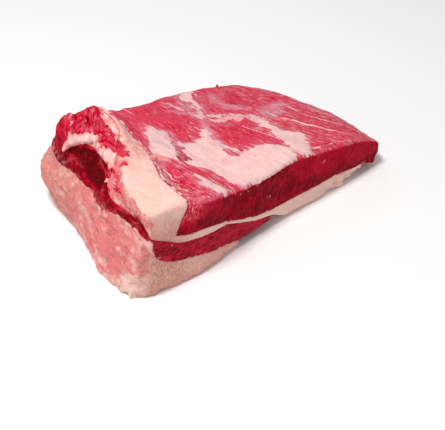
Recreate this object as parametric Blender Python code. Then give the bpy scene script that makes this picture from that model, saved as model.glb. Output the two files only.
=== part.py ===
"""Boneless beef brisket, raw, lying fat side down, in metres with +Z up.

The joint is a stack of four layers that run through it from the long cut side to the
back: the fat cap underneath, the lower muscle, a seam of fat that swells into a thick
wedge near the fatty end, and the upper muscle. All four are slabs of one shared block
of meat: the block is cut into upright columns, and each layer fills the columns between
its own floor and its own roof.

The long cut side faces -Y, the fatty end faces -X, and the origin is the middle of the
footprint on the surface that the joint lies on.
"""

import math

import bmesh
import bpy
import numpy as np
from mathutils import Vector, noise

# ---- driving dimensions ----
MM = 0.001
CENTRE_X = 177.8 * MM  # the stations below count from the fatty end
CENTRE_Y = 109 * MM  # and from the cut side
LAYER_GAP = 0.3 * MM  # meat touches meat, and the solids stay this far apart
THIN_EDGE = 1.6 * MM  # how thin a layer gets before it ends
RAGGED_END = 6 * MM  # how thick the seam fat still is where it breaks off
FACE_STEP = 1.5 * MM  # width of the column that holds the wedge's steep cut side

# ---- columns and rows of the block ----
FLANK_COLUMNS = 5  # the fatty end's flank, with the lobe of lower muscle on it
WEDGE_COLUMNS = 5  # the wedge of hard fat
SLAB_COLUMNS = 19  # the upper muscle's broad slab
DEPTH_ROWS = 22
WEDGE_START = FLANK_COLUMNS
WEDGE_END = WEDGE_START + WEDGE_COLUMNS
SLAB_START = WEDGE_END + 1
COLUMNS = SLAB_START + SLAB_COLUMNS
CAP_END = SLAB_START + 7  # the fat cap thins out here
LOWER_END = SLAB_START + 9  # and the lower muscle here
SEAM_END = COLUMNS - 3  # the seam fat stops short of the thin end
TAPER_COLUMNS = 6  # a layer thins out over this many columns before its end

# ---- stations in millimetres, each a few points that a smooth line joins ----
# Plan: how far from the fatty end each line lies, by distance from the cut side.
LEFT_EDGE = ((15, 14), (35, 9), (68, 8), (82, 13), (110, 24), (143, 33), (199, 39), (222, 48))
WEDGE_FOOT = ((15, 17), (36, 18), (72, 17), (90, 26), (114, 62), (136, 87), (181, 103), (222, 106))
WEDGE_EDGE = ((15, 19), (53, 20), (73, 36), (104, 70), (133, 89), (181, 106), (222, 110))
WEDGE_RIGHT = ((15, 40), (51, 51), (73, 64), (100, 81), (130, 95), (159, 107), (222, 117))
RIGHT_EDGE = ((15, 345), (62, 340), (110, 327), (157, 311), (205, 301))
# Plan: the cut side and the back, by distance from the fatty end.
FRONT_EDGE = ((5, 20), (36, 18), (88, 13), (170, 15), (215, 13), (260, 11), (335, 6))
BACK_EDGE = ((30, 222), (90, 205), (140, 203), (227, 202), (260, 191), (290, 176), (335, 150))
# Cut side: the roof of each lower layer, by distance in from the flank.
CAP_ROOF = ((0, 75), (5, 67), (11, 56), (31, 39), (66, 28), (110, 15), (129, 8), (150, 3))
LOWER_ROOF = ((0, 74), (20, 63), (49, 54), (89, 46), (102, 45), (140, 26), (169, 18), (200, 8))
SEAM_ROOF = ((0, 84), (27, 67), (50, 61), (75, 57), (106, 47), (140, 32), (173, 25), (247, 23), (300, 17))
# The flank: where the layers meet on it, by distance from the cut side.
CAP_LINE = ((15, 72), (28, 76), (46, 80), (78, 80), (109, 75), (145, 69), (182, 61), (205, 63))
STRIP_LINE = ((15, 77), (23, 80), (36, 85), (75, 86), (93, 91), (105, 95), (118, 101))
# The tops: the upper muscle's at the cut side and at the back, by distance from the fatty end.
FRONT_TOP = ((60, 96), (108, 87), (124, 82), (150, 76), (214, 74), (238, 70), (300, 54), (340, 37))
BACK_TOP = ((100, 80), (120, 77), (143, 72), (167, 68), (200, 63), (240, 56), (300, 49))
# The ridge of wedge and lobe, by depth share: 0 at the cut side, 1 at the back.
RIDGE_LEFT = ((0, 105), (0.4, 104), (0.6, 102), (0.7, 100), (0.85, 96), (1, 94))
RIDGE_RIGHT = ((0, 97), (0.3, 96), (0.5, 93), (0.7, 90), (0.9, 82), (1, 79))
# How the roofs inside sink from the cut side to the back, by depth share.
ROOF_FALL = ((0, 1.0), (0.3, 0.98), (0.6, 0.86), (1, 0.72))
# How far the flank has leaned in, 80 mm above its foot, by distance from the cut side.
FLANK_LEAN = ((15, 8), (40, 15), (60, 16), (80, 13), (109, 7), (132, 3), (222, 3))

# ---- flesh ----
UNDERSIDE_LIFT = 9 * MM  # the cut side bridges the gap between cap and seam fat
THIN_END_LIFT = 12 * MM  # the thin end stands clear of the surface
THIN_END_DROOP = 6 * MM  # and its tip hangs lower again
THIN_END_RADIUS = 25 * MM  # its top rounds over by this radius
POCKET_DEPTH = 26 * MM  # how far the lobe's cut face stands in at its top
HOLLOW_DEPTH = 5 * MM  # and how much further its middle is scooped
CAP_BULGE = 11 * MM  # how far the fat cap swells out over its foot at the back
LOBE_STEP = 9 * MM  # how far the lobe stands back from the fat cap
CORNER_TUCK = 4 * MM  # how far the near corner's foot is tucked in
BACK_TUCK = 11 * MM  # and how far the foot behind the lobe is
OVERHANG = 7 * MM  # how far the wedge's near corner stands out over the flank
WEDGE_LEAN = 0.68  # the wedge's cut side leans out over the upper muscle, mm a mm
LUMP_HEIGHT = 2.6 * MM
LUMP_SIZE = 38 * MM

RED_MEAT = (0.42, 0.02, 0.03, 1)
DARK_MEAT = (0.28, 0.01, 0.02, 1)
CREAM_FAT = (0.86, 0.66, 0.52, 1)
PINK_FAT = (0.78, 0.46, 0.42, 1)


def line_through(stations):
    """A smooth line through (place, value) stations that never overshoots them."""
    places = np.array([place for place, _ in stations], float)
    values = np.array([value for _, value in stations], float)
    slopes = np.diff(values) / np.diff(places)
    tangents = np.concatenate([slopes[:1], np.zeros(len(slopes) - 1), slopes[-1:]])
    for i in range(1, len(slopes)):
        if slopes[i - 1] * slopes[i] > 0:
            tangents[i] = 2 / (1 / slopes[i - 1] + 1 / slopes[i])

    def value_at(place):
        place = min(max(place, places[0]), places[-1])
        i = min(int(np.searchsorted(places, place, side="right")) - 1, len(slopes) - 1)
        span = places[i + 1] - places[i]
        t = (place - places[i]) / span
        rise = t * t * (3 - 2 * t)
        start_pull = t * (1 - t) ** 2 * tangents[i]
        end_pull = t * t * (t - 1) * tangents[i + 1]
        bend = (start_pull + end_pull) * span
        return float(values[i] + rise * (values[i + 1] - values[i]) + bend)

    return value_at


left_edge = line_through(LEFT_EDGE)
wedge_foot = line_through(WEDGE_FOOT)
wedge_edge = line_through(WEDGE_EDGE)
wedge_right = line_through(WEDGE_RIGHT)
right_edge = line_through(RIGHT_EDGE)
front_edge = line_through(FRONT_EDGE)
back_edge = line_through(BACK_EDGE)
cap_roof = line_through(CAP_ROOF)
lower_roof = line_through(LOWER_ROOF)
seam_roof = line_through(SEAM_ROOF)
cap_line = line_through(CAP_LINE)
strip_line = line_through(STRIP_LINE)
front_top = line_through(FRONT_TOP)
back_top = line_through(BACK_TOP)
ridge_left = line_through(RIDGE_LEFT)
ridge_right = line_through(RIDGE_RIGHT)
roof_fall = line_through(ROOF_FALL)
flank_lean = line_through(FLANK_LEAN)


def smooth_step(low, high, value):
    """0 below low, 1 above high, and an S between them."""
    t = min(max((value - low) / (high - low), 0.0), 1.0)
    return t * t * (3 - 2 * t)


def bump(centre, width, value):
    """1 at the centre, falling to nothing about one width away."""
    return math.exp(-(((value - centre) / width) ** 2) * 2)


def lumps(x, y, z, seed):
    """The uneven swell of flesh, from -1 to 1."""
    scale = LUMP_SIZE / MM
    return noise.noise(Vector((x / scale, y / scale, z / scale + seed)))


def row_share(row):
    """Where a row lies from the cut side, 0, to the back, 1. Rows crowd at both ends."""
    t = row / DEPTH_ROWS
    return t - math.sin(2 * math.pi * t) / (2 * math.pi) * 0.6


def plan_point(column, row):
    """(x, y) in millimetres of a column's foot, before its corners are rounded."""
    share = row_share(row)
    y = 15 + share * (205 - 15)
    foot, edge, right = wedge_foot(y), wedge_edge(y), wedge_right(y)
    if column <= WEDGE_START:
        x = np.interp(column, (0, WEDGE_START), (left_edge(y), foot))
    elif column <= WEDGE_END:
        x = np.interp(column, (WEDGE_START, WEDGE_START + 1, WEDGE_END), (foot, edge, right))
    else:
        t = (column - SLAB_START) / SLAB_COLUMNS
        spread = t + math.sin(2 * math.pi * t) / (2 * math.pi) * -0.45
        start = right + FACE_STEP / MM
        x = start + spread * (right_edge(y) - start)
    y = front_edge(x) + share * (back_edge(x) - front_edge(x))
    return float(x), float(y)


def round_corners(x, y):
    """Draws the block's four upright corners in, each by its own radius."""
    corners = (
        (left_edge(15), front_edge(5), 1, 1, 14),
        (right_edge(15), front_edge(335), -1, 1, 20),
        (right_edge(205), back_edge(300), -1, -1, 26),
        (left_edge(222), back_edge(46), 1, -1, 40),
    )
    for corner_x, corner_y, way_x, way_y, radius in corners:
        apart = abs(x - corner_x) + abs(y - corner_y)
        draw = 0.3 * radius * math.exp(-2 * apart / radius)
        x += way_x * draw
        y += way_y * draw
    return x, y


def flank_offset(y, z):
    """How far the fatty end's flank stands in from its foot, at a height, in millimetres."""
    offset = flank_lean(y) * min(z, 80) / 80
    back = smooth_step(110, 195, y)
    offset -= CAP_BULGE / MM * bump(34, 36, z) * back
    offset += LOBE_STEP / MM * smooth_step(46, 66, z) * back
    pocket = smooth_step(85, 112, y) * (1 - smooth_step(150, 176, y))
    offset += POCKET_DEPTH / MM * smooth_step(70, 90, z) * pocket
    offset += HOLLOW_DEPTH / MM * bump(84, 13, z) * bump(135, 34, y)
    return offset - OVERHANG / MM * smooth_step(84, 104, z) * bump(33, 22, y)


def thin_end_offset(z):
    """The thin end is rounded: its middle stands furthest out."""
    return 8 * bump(24, 20, z) - 5 * smooth_step(34, 60, z)


def meat_point(column, row, z):
    """The point of the block at a column and row and a height, with every bulge."""
    x, y = round_corners(*plan_point(column, row))
    share = row_share(row)
    left, right = left_edge(y), right_edge(y)
    near_flank = math.exp(-((max(x - left, 0) / 30) ** 2))
    near_thin_end = math.exp(-((max(right - x, 0) / 30) ** 2))
    near_cut = math.exp(-((share / 0.12) ** 2))
    near_back = math.exp(-(((1 - share) / 0.15) ** 2))
    near_corner = math.exp(-(abs(x - left_edge(15)) + abs(y - front_edge(5))) / 11)
    tuck = CORNER_TUCK / MM * near_corner * max(1 - z / 45, 0)
    near_back_corner = math.exp(-(abs(x - left_edge(205)) + abs(y - back_edge(46))) / 28)
    back_tuck = BACK_TUCK / MM * near_back_corner * max(1 - z / 40, 0)
    lean = WEDGE_LEAN * max(min(z, 98) - 52, 0) * max(1 - share / 0.7, 0)
    if x < wedge_right(y):
        lean *= max((x - wedge_edge(y)) / (wedge_right(y) - wedge_edge(y)), 0)
    else:
        lean *= bump(wedge_right(y), 44, x)
    x += lean + tuck + back_tuck
    y += tuck - back_tuck
    x += near_flank * (flank_offset(y, z) + 2.0 * lumps(0, y, z, 3.1))
    x += near_thin_end * (thin_end_offset(z) + 2.0 * lumps(x, y, z, 7.7))
    y += near_cut * (2.0 * lumps(x, 0, z, 1.3) - 1.5 * bump(30, 30, z))
    y += near_back * (3.0 * lumps(x, 0, z, 5.9) + 5 * bump(26, 30, z) - 4)
    return x, y


def top_height(column, x, y, share):
    """The height of the whole block's top, in millimetres, before its edges are rounded."""
    slab = front_top(x) + share * (back_top(x) - front_top(x))
    right = ridge_right(share)
    if column <= WEDGE_END:
        across = min(max((x - wedge_edge(y)) / (wedge_right(y) - wedge_edge(y)), 0), 1)
        height = ridge_left(share) + across * (right - ridge_left(share))
    else:
        fall = smooth_step(0, 10, x - wedge_right(y) - FACE_STEP / MM)
        height = right + fall * (slab - right)
    return height + lumps(x, y, 0, 11.3) * LUMP_HEIGHT / MM


def edge_drop(x, y, plan_x):
    """How far the top sinks where it rounds over into the sides, in millimetres."""
    borders = (
        (y - front_edge(x), 4),
        (x - left_edge(y), 4 + 22 * smooth_step(150, 185, y)),
        (back_edge(x) - y, 14),
        (right_edge(y) - plan_x, THIN_END_RADIUS / MM),
    )
    drop = 0.0
    for inside, radius in borders:
        t = min(max(1 - inside / radius, 0), 1)
        drop += radius * (1 - math.sqrt(max(1 - t * t, 0)))
    return min(drop, 24)


def floor_height(x, y):
    """The underside: flat where it rests, lifted where the joint bridges or ends."""
    bridge = UNDERSIDE_LIFT / MM * bump(172, 30, x) * (1 - smooth_step(15, 60, y))
    thin_end = THIN_END_LIFT / MM * smooth_step(286, 310, x)
    thin_end -= THIN_END_DROOP / MM * smooth_step(314, 336, x)
    edge = 0.0
    for inside in (y - front_edge(x), x - left_edge(y), back_edge(x) - y):
        edge += 3.5 * min(max(1 - inside / 5, 0), 1) ** 2
    return bridge + thin_end + edge


def taper_out(roof, least, columns_left, share):
    """A roof that sinks to its least height where its layer ends, away from the cut side."""
    ending = 1 - smooth_step(0, TAPER_COLUMNS, columns_left)
    ending *= smooth_step(0.02, 0.25, share)
    return max(roof + ending * (least - roof), least)


def column_heights(column, row):
    """Floor, then the roofs of cap, lower muscle, seam and upper muscle, in millimetres."""
    plan_x, plan_y = plan_point(column, row)
    x, y = round_corners(plan_x, plan_y)
    share = row_share(row)
    floor = floor_height(x, y)
    top = top_height(column, x, y, share) - edge_drop(x, y, plan_x)
    inward = max(x - left_edge(y), 0) * (1 - 0.5 * smooth_step(0.05, 0.35, share))
    fall = roof_fall(share)
    near_flank = 1 - smooth_step(0, 45, inward)
    cap = cap_roof(inward) * fall
    cap += near_flank * (cap_line(y) - cap_roof(0) * fall)
    lower = lower_roof(inward) * fall
    lower += near_flank * (strip_line(y) - lower_roof(0) * fall)
    seam = max(seam_roof(inward) * fall, lower + 2.5)
    on_ridge = smooth_step(92, 118, y)
    if column <= WEDGE_START:
        lower += on_ridge * (top - lower)
        seam = lower + THIN_EDGE / MM
        seam += on_ridge * (top - seam)
    elif column <= WEDGE_END:
        seam = top
    thin = THIN_EDGE / MM
    lower = min(lower, top - 2 * thin) if column >= WEDGE_START else lower
    cap = taper_out(cap, floor + thin, CAP_END - column, share) if column <= CAP_END else floor
    lower = taper_out(lower, cap + thin, LOWER_END - column, share) if column <= LOWER_END else cap
    if column == SEAM_END:
        seam = min(seam, floor + RAGGED_END / MM)
    seam = max(seam, lower + thin) if column <= SEAM_END else lower
    return floor, cap, lower, seam, top


def split_alike(build):
    """Splits every level cell along the same diagonal, so that a roof and the floor over
    it bend alike and never cross."""
    for face in list(build.faces):
        heights = [vertex.co.z for vertex in face.verts]
        if max(heights) - min(heights) < 0.01:
            corners = sorted(face.verts, key=lambda vertex: vertex.co.x + vertex.co.y)
            bmesh.utils.face_split(face, corners[0], corners[-1])


def draw_in(build, distance):
    """Draws a closed body's skin in evenly. What lies on the surface stays on it."""
    build.normal_update()
    moves = [vertex.normal * min(vertex.calc_shell_factor(), 1.4) for vertex in build.verts]
    for vertex, move in zip(build.verts, moves):
        if vertex.co.z < distance:
            move.z = 0
        vertex.co -= move * distance


def layer_slab(name, first_column, last_column, floor_index, wall_cells, colour):
    """One layer as a closed slab: a flat grid, extruded upwards, then fitted to the meat."""
    mesh = bpy.data.meshes.new(name)
    build = bmesh.new()
    cells = last_column - first_column
    bmesh.ops.create_grid(build, x_segments=cells, y_segments=DEPTH_ROWS, size=0.5)
    extruded = bmesh.ops.extrude_face_region(build, geom=build.faces[:])
    raised = [item for item in extruded["geom"] if isinstance(item, bmesh.types.BMVert)]
    bmesh.ops.translate(build, verts=raised, vec=(0, 0, 1))
    uprights = [
        edge for edge in build.edges if abs(edge.verts[0].co.z - edge.verts[1].co.z) > 0.5
    ]
    bmesh.ops.subdivide_edges(
        build, edges=uprights, cuts=wall_cells - 1, use_grid_fill=True
    )
    split_alike(build)
    bmesh.ops.recalc_face_normals(build, faces=build.faces[:])
    for vertex in build.verts:
        column = first_column + round((vertex.co.x + 0.5) * cells)
        row = round((vertex.co.y + 0.5) * DEPTH_ROWS)
        heights = column_heights(column, row)
        low, high = heights[floor_index], heights[floor_index + 1]
        z = low + vertex.co.z * (high - low)
        x, y = meat_point(column, row, z)
        vertex.co = (x * MM - CENTRE_X, y * MM - CENTRE_Y, z * MM)
    draw_in(build, LAYER_GAP / 2)
    build.to_mesh(mesh)
    build.free()
    mesh.shade_smooth()
    mesh.materials.append(colour)
    return bpy.data.objects.new(name, mesh)


def flesh(name, colour, roughness):
    """A moist Principled material."""
    material = bpy.data.materials.new(name)
    material.use_nodes = True
    shader = material.node_tree.nodes["Principled BSDF"]
    shader.inputs["Base Color"].default_value = colour
    shader.inputs["Roughness"].default_value = roughness
    shader.inputs["Metallic"].default_value = 0.0
    return material


def main():
    for leftover in list(bpy.data.objects):
        bpy.data.objects.remove(leftover)
    joint = bpy.data.collections.new("boneless_beef_brisket")
    bpy.context.scene.collection.children.link(joint)
    layers = (
        ("fat_cap", 0, CAP_END, 0, 4, flesh("pink_fat", PINK_FAT, 0.5)),
        ("lower_muscle", 0, LOWER_END, 1, 4, flesh("dark_meat", DARK_MEAT, 0.4)),
        ("seam_fat", WEDGE_START, SEAM_END, 2, 3, flesh("cream_fat", CREAM_FAT, 0.5)),
        ("upper_muscle", SLAB_START, COLUMNS, 3, 4, flesh("red_meat", RED_MEAT, 0.4)),
    )
    for layer in layers:
        joint.objects.link(layer_slab(*layer))


main()
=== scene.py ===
"""A raw boneless beef brisket lying fat side down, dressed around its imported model.

Lengths are millimetres in the meat frame, counted from the fatty end, the cut side and
the surface underneath, until a mesh is written in metres in the model's own frame.
"""

import math

import bmesh
import bpy
import numpy as np
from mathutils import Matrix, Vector
from mathutils.bvhtree import BVHTree


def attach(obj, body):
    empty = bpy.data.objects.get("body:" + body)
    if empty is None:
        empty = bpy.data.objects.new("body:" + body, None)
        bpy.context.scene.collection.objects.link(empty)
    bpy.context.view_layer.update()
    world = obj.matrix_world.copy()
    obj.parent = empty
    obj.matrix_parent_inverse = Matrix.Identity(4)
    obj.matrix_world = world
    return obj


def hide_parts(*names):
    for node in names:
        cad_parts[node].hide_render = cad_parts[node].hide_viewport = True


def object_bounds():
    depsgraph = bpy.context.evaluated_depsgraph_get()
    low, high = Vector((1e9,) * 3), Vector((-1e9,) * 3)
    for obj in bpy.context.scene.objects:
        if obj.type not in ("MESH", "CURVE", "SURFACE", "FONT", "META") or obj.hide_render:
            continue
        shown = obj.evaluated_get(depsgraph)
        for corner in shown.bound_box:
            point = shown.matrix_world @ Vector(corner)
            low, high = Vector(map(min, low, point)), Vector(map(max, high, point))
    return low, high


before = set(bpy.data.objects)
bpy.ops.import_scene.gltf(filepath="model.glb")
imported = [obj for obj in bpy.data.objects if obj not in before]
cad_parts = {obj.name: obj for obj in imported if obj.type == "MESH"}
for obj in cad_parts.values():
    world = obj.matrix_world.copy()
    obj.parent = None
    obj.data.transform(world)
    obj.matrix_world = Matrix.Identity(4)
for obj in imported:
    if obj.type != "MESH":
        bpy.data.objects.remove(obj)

CAD_BOX = [list(corner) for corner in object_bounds()]

# ---- the meat frame ----
MM = 0.001
ORIGIN = np.array([177.8, 109.0, 0.0])
SKIN_VOXEL = 1.4
PIECE_VOXEL = 1.26
SWELL = 0.34  # the solids stand 0.3 mm apart and their pieces touch
SMOOTH_ROUNDS = 14
NORMAL_ROUNDS = 2
SMOOTH_IN, SMOOTH_OUT = 0.6, 0.48  # shares of a step in, and of the step back out
WELD = 0.00001  # corners of a solid this close, in metres, are one
SKIN_DEPTH = (0.8, 5)  # the shallower points follow the skin in full, the deeper not at all
SNAP_DEPTH = (1.5, 0.7)  # from where to where a point comes to be laid right on the skin
SNAP_FACING = (0.0, 0.45)  # and how nearly it has to face as the skin does
CLOSEST = 0.05  # added to distances that weights are one over
JOINT_FADE = (0.2, 2.5)  # relief grows over these distances from a neighbour
DEEPEST = 1.6  # of the mask that darkens the lean
FAR = 12.0  # beyond this a layer has no say in how its neighbour looks
NEVER = 1e9  # farther than anything
TINY = 1e-9  # a length that is no length

# ---- camera, light and floor, in metres ----
CAMERA_PLACE = (-0.5980336, -0.6243964, 0.7483813)
CAMERA_TURN = (47.444464, -1.917056, -43.393049)
CAMERA_LENS = 86.28729
CAMERA_SENSOR = 36
KEY_PLACE, KEY_TARGET = (-0.55, -0.05, 1.5), (0, 0, 0.05)
KEY_SIZE, KEY_POWER = 0.4, 19
WORLD_COLOUR, WORLD_STRENGTH = (1, 1, 1, 1), 0.42
FLOOR_HALF = 6.0
FLOOR_COLOUR, FLOOR_ROUGHNESS = (0.96, 0.96, 0.96, 1), 0.7

# ---- fat on the upper muscle's top, as outlines in plan ----
SMALL_PATCH = (
    (131, 150), (139, 143), (140, 132), (136, 119), (129, 103), (120, 87), (112, 76),
    (115, 88), (107, 89), (102, 96), (102, 107), (111, 121), (123, 137),
)
CENTRAL_PATCH = (
    (138, 109), (156, 100), (168, 107), (176, 115), (183, 115), (180, 105), (174, 94),
    (174, 81), (178, 70), (186, 58), (204, 53), (221, 38), (224, 31), (216, 15), (192, 12),
    (166, 12), (144, 18), (136, 32), (134, 53), (125, 66), (117, 76), (126, 82), (136, 96),
)
LEAN_ISLAND = ((170, 79), (176, 69), (183, 59), (180, 57), (172, 55), (168, 60), (168, 70))
RIGHT_PATCH = (
    (241, 96), (245, 91), (244, 81), (245, 62), (259, 47), (257, 42), (250, 32), (244, 19),
    (232, 14), (224, 20), (225, 30), (228, 47), (232, 69), (230, 82),
)
BACK_PATCH = (
    (202, 179), (213, 190), (222, 196), (229, 182), (219, 171), (211, 154), (206, 141),
    (200, 145), (204, 162), (203, 173),
)
ORANGE_PATCH = (
    (195, 132), (202, 122), (216, 121), (231, 113), (232, 103), (219, 97), (215, 107),
    (203, 111), (193, 119),
)
FRONT_STREAK = (
    (111, 58), (116, 50), (118, 37), (121, 25), (124, 15), (107, 15), (105, 25), (108, 40),
)
SLIVER = ((87, 94), (102, 101), (105, 92), (98, 89), (84, 87))

# ---- strokes over the flesh: (x, y, z, half-width) along each ----
UPPER_BAND = (
    (180, 179, 66, 3), (185, 165, 67, 4), (189, 146, 68, 4), (192, 135, 68, 5),
    (209, 125, 67, 4), (231, 113, 64, 4), (244, 93, 63, 5),
)
SECOND_BAND = ((199, 190, 62, 3), (198, 167, 65, 3), (201, 150, 66, 3), (200, 137, 67, 4))
SEAM_VEIL = (
    (99, 95, 86, 3), (92, 82, 88, 4.5), (87, 70, 88, 4.5), (81, 52, 90, 4), (76, 34, 92, 2),
)
VEILS = (
    ((258, 98, 60, 10), (272, 104, 58, 12), (288, 106, 54, 5)),
    ((239, 166, 59, 4), (229, 148, 62, 6), (230, 132, 64, 6), (246, 118, 61, 5)),
    (
        (136, 141, 75, 4), (144, 132, 74, 4), (144, 119, 74, 4), (136, 100, 77, 4),
        (126, 82, 80, 2),
    ),
    (
        (190, 129, 69, 4), (183, 113, 70, 5), (178, 99, 71, 5), (174, 84, 72, 4),
        (170, 66, 74, 3.5), (170, 50, 74, 2),
    ),
    SEAM_VEIL,
    ((202, 170, 65, 5), (190, 150, 67, 6), (190, 138, 68, 5), (176, 160, 68, 4)),
    ((129, 150, 76, 3), (129, 137, 77, 5), (123, 120, 79, 6), (119, 104, 80, 5)),
    ((238, 93, 64, 2), (250, 88, 62, 2.5)),
)
WHITE_LINES = (
    (
        (262, 86, 61, 1.5), (273, 64, 60, 1.4), (286, 47, 57, 1.3), (298, 29, 54, 1.3),
        (309, 14, 51, 0.9),
    ),
    ((270, 113, 58, 1.1), (280, 108, 56, 1.4), (289, 101, 55, 1.3), (295, 81, 54, 0.9)),
    ((246, 21, 67, 1.4), (257, 19, 64, 1.2), (272, 18, 61, 0.8)),
    ((259, 104, 60, 1.2), (262, 86, 61, 1.4)),
    ((252, 116, 62, 0.9), (258, 100, 61, 1.2), (268, 78, 60, 1.0), (276, 62, 59, 0.8)),
)
# ROLL and SEAM_WISPS are strokes in plan, level with the ground
ROLL = (
    (84, 88, 0, 1.4), (90, 90, 0, 2.5), (98, 92.5, 0, 2.8), (105, 89, 0, 2.2), (107, 85, 0, 1),
)
SEAM_WISPS = (
    ((87, 83, 0, 0.7), (83, 72, 0, 1.1), (80, 62, 0, 1.0), (84, 53, 0, 0.4)),
    ((80, 69, 0, 0.7), (77, 60, 0, 1.1), (80, 53, 0, 0.9), (90, 47, 0, 0.4)),
    ((74, 55, 0, 0.7), (74, 46, 0, 1.1), (79, 41, 0, 0.9), (90, 36, 0, 0.4)),
    ((73, 38, 0, 0.6), (75, 31, 0, 1.0), (83, 25, 0, 0.5)),
    ((90, 78, 0, 0.5), (91, 68, 0, 0.9), (88, 58, 0, 0.9), (91, 51, 0, 0.4)),
    ((86, 50, 0, 0.5), (83, 42, 0, 0.9), (87, 34, 0, 0.4)),
)
LEAN_FINGER = ((141, 118, 75, 2), (131, 99, 78, 4), (122, 80, 81, 4))
# pale flecks on the cut side: partly fat, partly painted glints of light on the wet flesh
CUT_FLECKS_AND_GLINTS = (
    ((250, 10.5, 50, 0.5), (252, 10, 52, 0.8), (254.5, 10, 53, 0.5)),
    ((176.5, 14, 45, 0.6), (177.5, 14, 47.5, 0.5)),
    ((173, 14, 46.5, 0.5), (174, 14, 48, 0.6)),
    ((214, 12, 56, 0.4), (215, 12, 58, 0.5)),
)
BRIGHT_SPOTS = (((290, 124, 53, 3), (294, 119, 53, 2)), ((221, 20, 72, 3), (230, 17, 71, 2)))
NICK = ((202, 179, 64, 1), (206, 168, 64, 1.4))
LOBE_PEAK = np.array([99.0, 191.0, 91.0])  # the back corner of the lobe stands up
SHRED = np.array([253.0, 172.0])  # in plan, where a loose shred stands up at the back

CREAM_BAND = (
    (45, 175, 77, 2), (49, 172, 83, 4), (56, 168, 89, 5), (64, 159, 92, 5.5), (66, 149, 93, 6),
    (63, 138, 93, 5.5), (60, 126, 96, 5.5), (57, 114, 99, 6), (53, 103, 100, 6),
)
LOBE_LINES = (
    ((73, 196, 95, 1.2), (64, 182, 95, 1.4), (56, 176, 91, 2), (51, 172, 86, 2)),
    ((60, 104, 102, 0.8), (66, 106, 103, 1.4), (75, 112, 103, 0.8)),
)
# the pocket in the lobe: its lean is a deep red, painted darker still as shade in the hollow
POCKET_DARK = (
    (51, 165, 79, 6), (56, 153, 79, 9), (53, 138, 79, 10), (45, 122, 80, 9), (38, 104, 83, 7),
    (31, 88, 83, 4),
)
RED_SPOT = ((55, 99, 102, 1.5), (57, 94, 104, 3.2), (58, 89, 104.5, 2))
LOBE_TIP = ((75, 127, 101, 3), (69, 115, 104, 6), (67, 106, 105, 5.5), (66, 99, 105, 2))
SEAM_EDGE = ((103, 179, 93, 4.5), (95, 160, 97, 6), (88, 145, 100, 5.5), (84, 134, 100, 3.5))
FLANK_SMEARS = (
    ((48, 98, 97, 2), (43, 86, 98, 4), (38, 79, 96, 4), (35, 74, 94, 2.5), (33, 65, 93, 1.5)),
    ((36, 93, 90, 2), (33, 88, 88, 2.5), (30, 82, 86, 2)),
)
SECOND_RED = (
    (33, 49, 85, 1), (31, 41, 84, 3), (29, 33, 81, 3.5), (27, 26, 77, 3), (26, 24, 73, 1.5),
)
CORNER_BRIDGE = (
    (23, 37, 78, 3), (24, 29, 74, 4), (25, 22, 68, 5), (26, 19, 62, 4.5), (24, 24, 58, 5),
    (27, 17, 50, 5.5),
)
LOBE_RIM = ((56, 203, 68, 3), (48, 194, 64, 4), (45, 183, 63, 5), (42, 172, 66, 4))
RIM_CREASE = ((54, 190, 80, 1), (48, 180, 74, 2.5), (45, 172, 70, 2.5), (42, 166, 66, 1))
PALE_BREAK = ((27, 48, 82, 3), (24, 41, 80, 4), (23, 34, 76, 3))
CAP_VEINS = (
    ((22, 100, 52, 1.3), (19, 85, 46, 2.0), (18, 75, 44, 1.3)),
    ((19, 74, 55, 1.2), (18, 66, 54, 2.0), (18, 60, 50, 1.4), (18, 54, 50, 1.2)),
    ((33, 186, 50, 1.5), (32, 178, 44, 2.0), (32, 172, 47, 1.2)),
    ((32, 153, 53, 1.9), (31, 147, 50, 1.2)),
    ((18, 44, 48, 1.3), (19, 36, 42, 1.7), (19, 30, 34, 1.0)),
    ((20, 92, 62, 1.2), (19, 82, 60, 1.6), (18, 72, 64, 1.1)),
)
CAP_BLUSH = ((14, 70, 36, 12), (14, 58, 28, 12), (18, 90, 44, 8))
NOTCH = np.array([13.0, 40.0, 2.0])  # at the near corner's foot, with a flap beside it
FLAP = np.array([14.0, 33.0, 2.0])
BAND_DARK_END = ((27, 18, 60, 5), (40, 16, 55, 7), (55, 16, 48, 5))
BAND_CREVICE = ((38, 14, 51, 1), (46, 14, 49, 1.6), (54, 14, 48, 1))
BAND_STREAK = ((40, 13, 53, 0.7), (48, 13, 54, 0.9), (57, 13, 51, 0.6))


# ------------------------------------------------------------------ noise and shapes


SCRAMBLE = (73856093, 19349663, 83492791)
SEED_SCRAMBLE = 2654435761
SHIFTS = ((15, 2246822519), (13, 3266489917))
LAST_SHIFT = 16
OCTAVE_SEED = 17
WORD = np.int64(0xFFFFFFFF)
BYTE = 255
FULL_SWING = 1.6  # brings the gradient noise to about -1 to 1


def lattice(cells, seed):
    """A repeatable scramble of whole-number cells, by large odd factors and shifts."""
    a, b, c = SCRAMBLE
    n = cells[..., 0] * a ^ cells[..., 1] * b ^ cells[..., 2] * c
    n = (n ^ (seed * SEED_SCRAMBLE)) & WORD
    for shift, factor in SHIFTS:
        n = ((n ^ (n >> shift)) * factor) & WORD
    return n ^ (n >> LAST_SHIFT)


def swirl(points, size, seed):
    """Smooth gradient noise, about -1 to 1, with features about `size` across."""
    scaled = points / np.asarray(size, float)
    base = np.floor(scaled).astype(np.int64)
    offset = scaled - base
    ease = offset ** 3 * (offset * (offset * 6 - 15) + 10)
    total = np.zeros(len(points))
    for corner in range(8):
        step = np.array([corner & 1, corner >> 1 & 1, corner >> 2 & 1])
        code = lattice(base + step, seed)
        slope = np.stack([code >> bits & BYTE for bits in (0, 8, 16)], -1) / (BYTE / 2) - 1
        weight = np.prod(np.where(step == 1, ease, 1 - ease), axis=-1)
        total += weight * np.sum(slope * (offset - step), axis=-1)
    return total * FULL_SWING


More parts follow.
